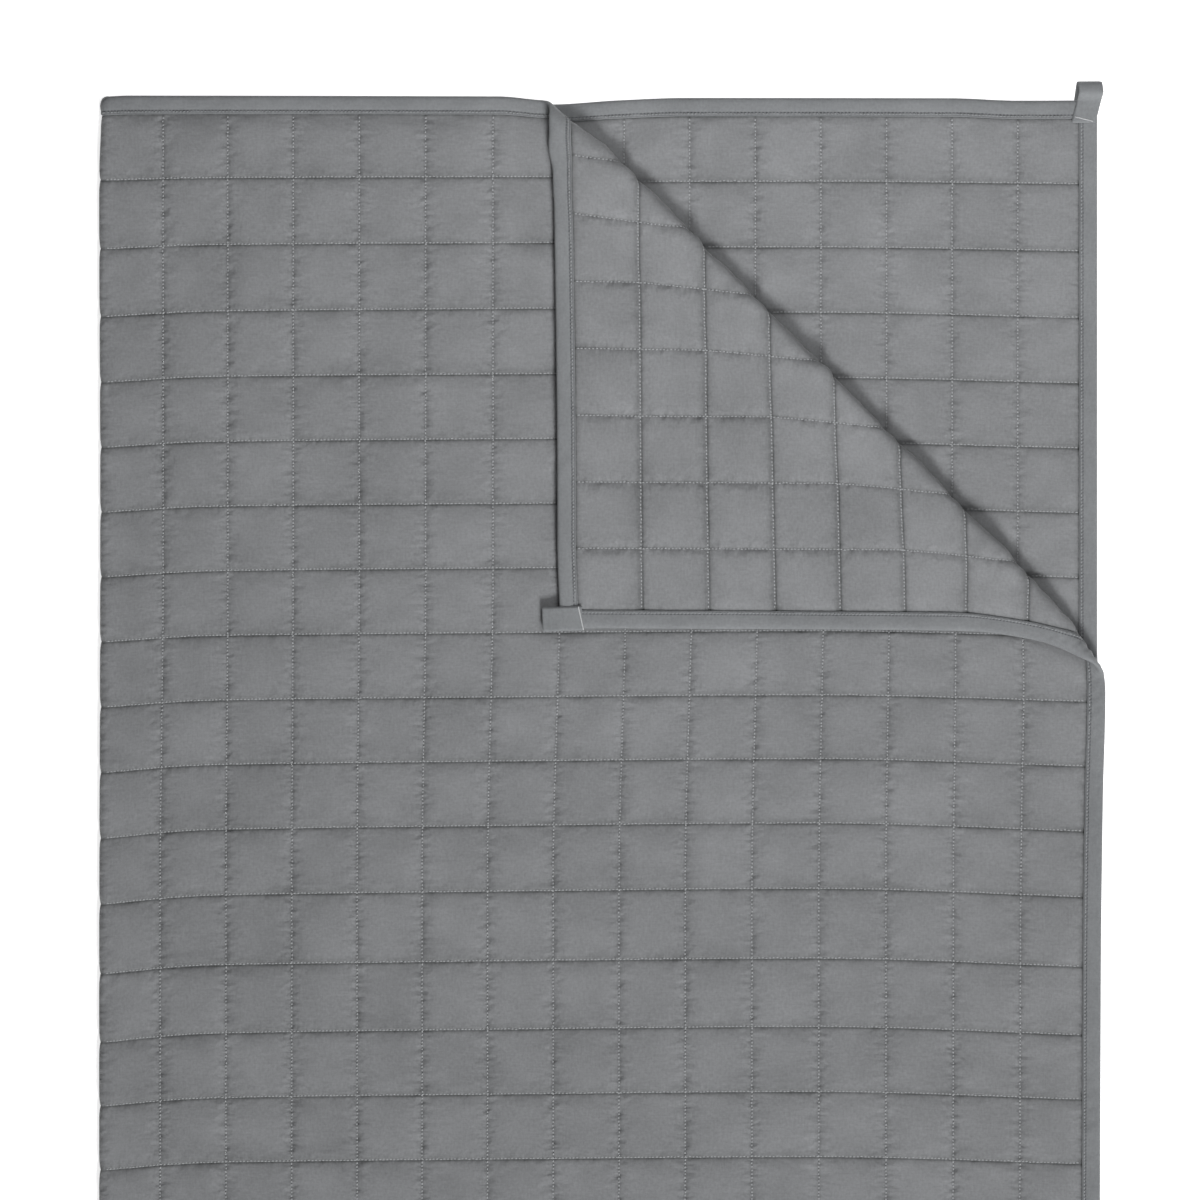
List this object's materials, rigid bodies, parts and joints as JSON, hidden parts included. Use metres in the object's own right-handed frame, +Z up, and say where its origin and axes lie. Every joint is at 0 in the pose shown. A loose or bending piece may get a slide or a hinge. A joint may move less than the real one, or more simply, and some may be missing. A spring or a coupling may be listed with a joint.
{
  "type": "weighted blanket",
  "caption": "Heavy quilted blanket with bound edges and corner loops, folded in half lengthways, one corner turned back; adds gentle weight over a person in bed.",
  "frame": {"origin": "centre of the underside, on the surface the folded blanket lies on", "axes": "+Y along the blanket's length towards the head end, +Z up, +X from the centre fold towards the free side"},
  "size_m": [0.7502, 1.9904, 0.0223],
  "materials": {
    "quilted_cloth": "matte woven cotton",
    "binding_tape": "matte woven tape",
    "loop_tape": "matte woven tape"
  },
  "bodies": {
    "root": {"quilt": "quilted_cloth", "binding": "binding_tape", "corner_loop_open": "loop_tape", "corner_loop_flat": "loop_tape"}
  },
  "joints": []
}
